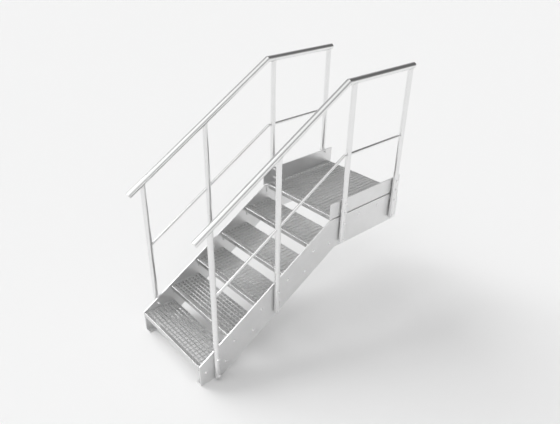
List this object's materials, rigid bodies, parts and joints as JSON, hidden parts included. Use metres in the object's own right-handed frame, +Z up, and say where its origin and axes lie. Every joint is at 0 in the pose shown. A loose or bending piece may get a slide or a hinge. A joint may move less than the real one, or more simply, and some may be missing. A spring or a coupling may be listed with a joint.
{
  "type": "low access stairs",
  "caption": "Short straight access stairs with open grating treads, a grating landing, plate stringers, kick plates and a tubular railing on each side.",
  "frame": {"origin": "on the floor, under the middle of the whole stairs' bounding box", "axes": "+X runs horizontally up the stairs, from the first tread to the wall end of the landing; +Y is the left side when climbing; +Z is up"},
  "size_m": [2.158, 0.924, 2.0641],
  "materials": {
    "plate": "satin light grey coating on steel plate",
    "railing": "satin light grey coating on steel tube",
    "grating": "galvanised steel",
    "nosing": "galvanised steel, worn bright on the edge",
    "fastener": "zinc-plated steel"
  },
  "bodies": {
    "root": {"foot_plate_left": "plate", "foot_plate_right": "plate", "handrail_flight_left": "railing", "handrail_flight_right": "railing", "handrail_landing_left": "railing", "handrail_landing_right": "railing", "kick_bolt_3_left": "fastener", "kick_bolt_3_right": "fastener", "kick_bolt_4_left": "fastener", "kick_bolt_4_right": "fastener", "kick_plate_left": "plate", "kick_plate_right": "plate", "landing_angle_left": "plate", "landing_angle_right": "plate", "landing_grating": "grating", "landing_nosing": "nosing", "mid_rail_flight_left": "railing", "mid_rail_flight_right": "railing", "mid_rail_landing_left": "railing", "mid_rail_landing_right": "railing", "post_1_bolt_left": "fastener", "post_1_bolt_right": "fastener", "post_1_left": "railing", "post_1_right": "railing", "post_2_bolt_left": "fastener", "post_2_bolt_right": "fastener", "post_2_left": "railing", "post_2_right": "railing", "post_3_bolt_left": "fastener", "post_3_bolt_right": "fastener", "post_3_left": "railing", "post_3_right": "railing", "post_4_bolt_left": "fastener", "post_4_bolt_right": "fastener", "post_4_left": "railing", "post_4_right": "railing", "stringer_left": "plate", "stringer_right": "plate", "tread_1_end_plate_left": "grating", "tread_1_end_plate_right": "grating", "tread_1_grating": "grating", "tread_1_nosing": "nosing", "tread_2_end_plate_left": "grating", "tread_2_end_plate_right": "grating", "tread_2_grating": "grating", "tread_2_nosing": "nosing", "tread_3_end_plate_left": "grating", "tread_3_end_plate_right": "grating", "tread_3_grating": "grating", "tread_3_nosing": "nosing", "tread_4_end_plate_left": "grating", "tread_4_end_plate_right": "grating", "tread_4_grating": "grating", "tread_4_nosing": "nosing", "tread_5_end_plate_left": "grating", "tread_5_end_plate_right": "grating", "tread_5_grating": "grating", "tread_5_nosing": "nosing", "wall_plate_left": "plate", "wall_plate_right": "plate"}
  },
  "joints": []
}
